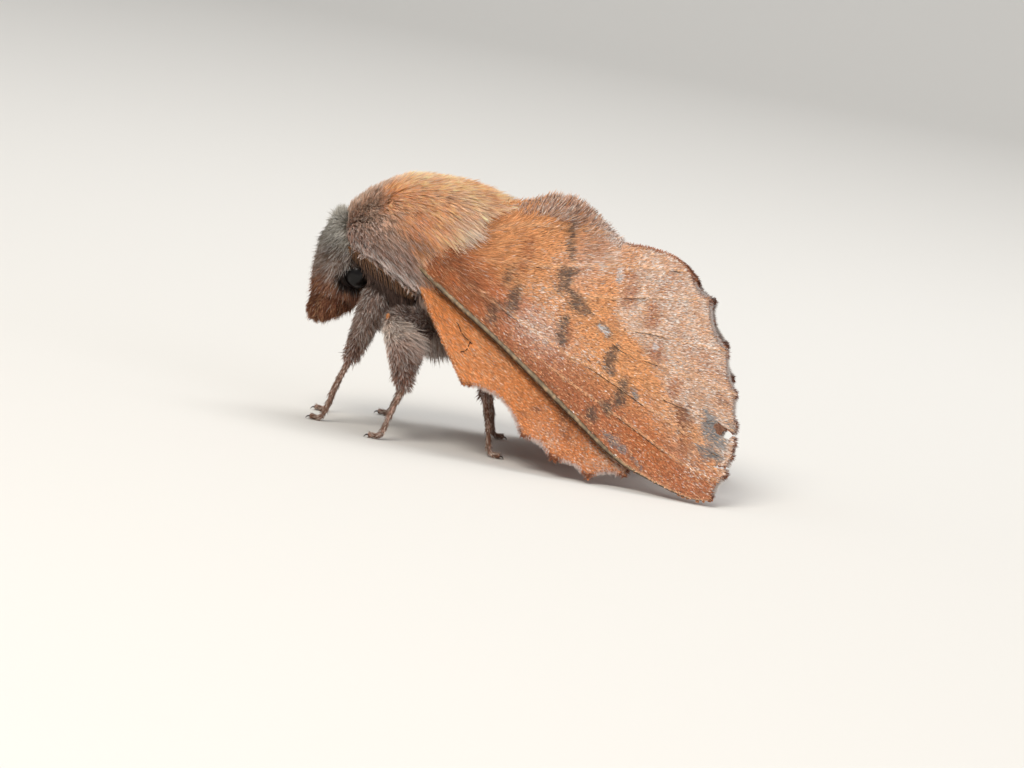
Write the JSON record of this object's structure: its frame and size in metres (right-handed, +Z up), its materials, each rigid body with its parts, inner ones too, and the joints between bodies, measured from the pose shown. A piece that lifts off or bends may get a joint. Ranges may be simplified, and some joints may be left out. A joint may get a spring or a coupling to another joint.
{
  "type": "lappet moth",
  "caption": "Furry brown-orange moth at rest, scalloped wings folded like a roof over its body, comb antennae tucked under, standing on six legs.",
  "frame": {"origin": "on the floor, under the middle of the moth's box", "axes": "+Z up, the head looks along -X, the left side faces -Y"},
  "size_m": [0.0221, 0.0138, 0.0133],
  "materials": {
    "body_fur": "dense soft hair-like scales, buff orange above and grey-brown in front",
    "eye": "glossy black compound eye with a fine grain of facets",
    "antenna": "amber-brown shaft with two rows of fine comb teeth",
    "leg_fur": "long pinkish grey-brown hair",
    "foot": "red-brown jointed feet with short flat scales",
    "forewing": "rust-orange hair-like scales, frosted white towards the edge, with dark broken bands",
    "hindwing": "bright rust-orange scales with a white and red-brown fringe"
  },
  "bodies": {
    "root": {"head": "body_fur", "thorax": "body_fur", "abdomen": "body_fur", "palp_l": "body_fur", "palp_r": "body_fur", "eye_l": "eye", "eye_r": "eye", "antenna_l": "antenna", "antenna_r": "antenna", "leg_fore_l": "leg_fur", "leg_fore_r": "leg_fur", "leg_mid_l": "leg_fur", "leg_mid_r": "leg_fur", "leg_hind_l": "leg_fur", "leg_hind_r": "leg_fur", "foot_fore_l": "foot", "foot_fore_r": "foot", "foot_mid_l": "foot", "foot_mid_r": "foot", "foot_hind_l": "foot", "foot_hind_r": "foot", "forewing_l": "forewing", "forewing_r": "forewing", "hindwing_l": "hindwing", "hindwing_r": "hindwing"}
  },
  "joints": []
}
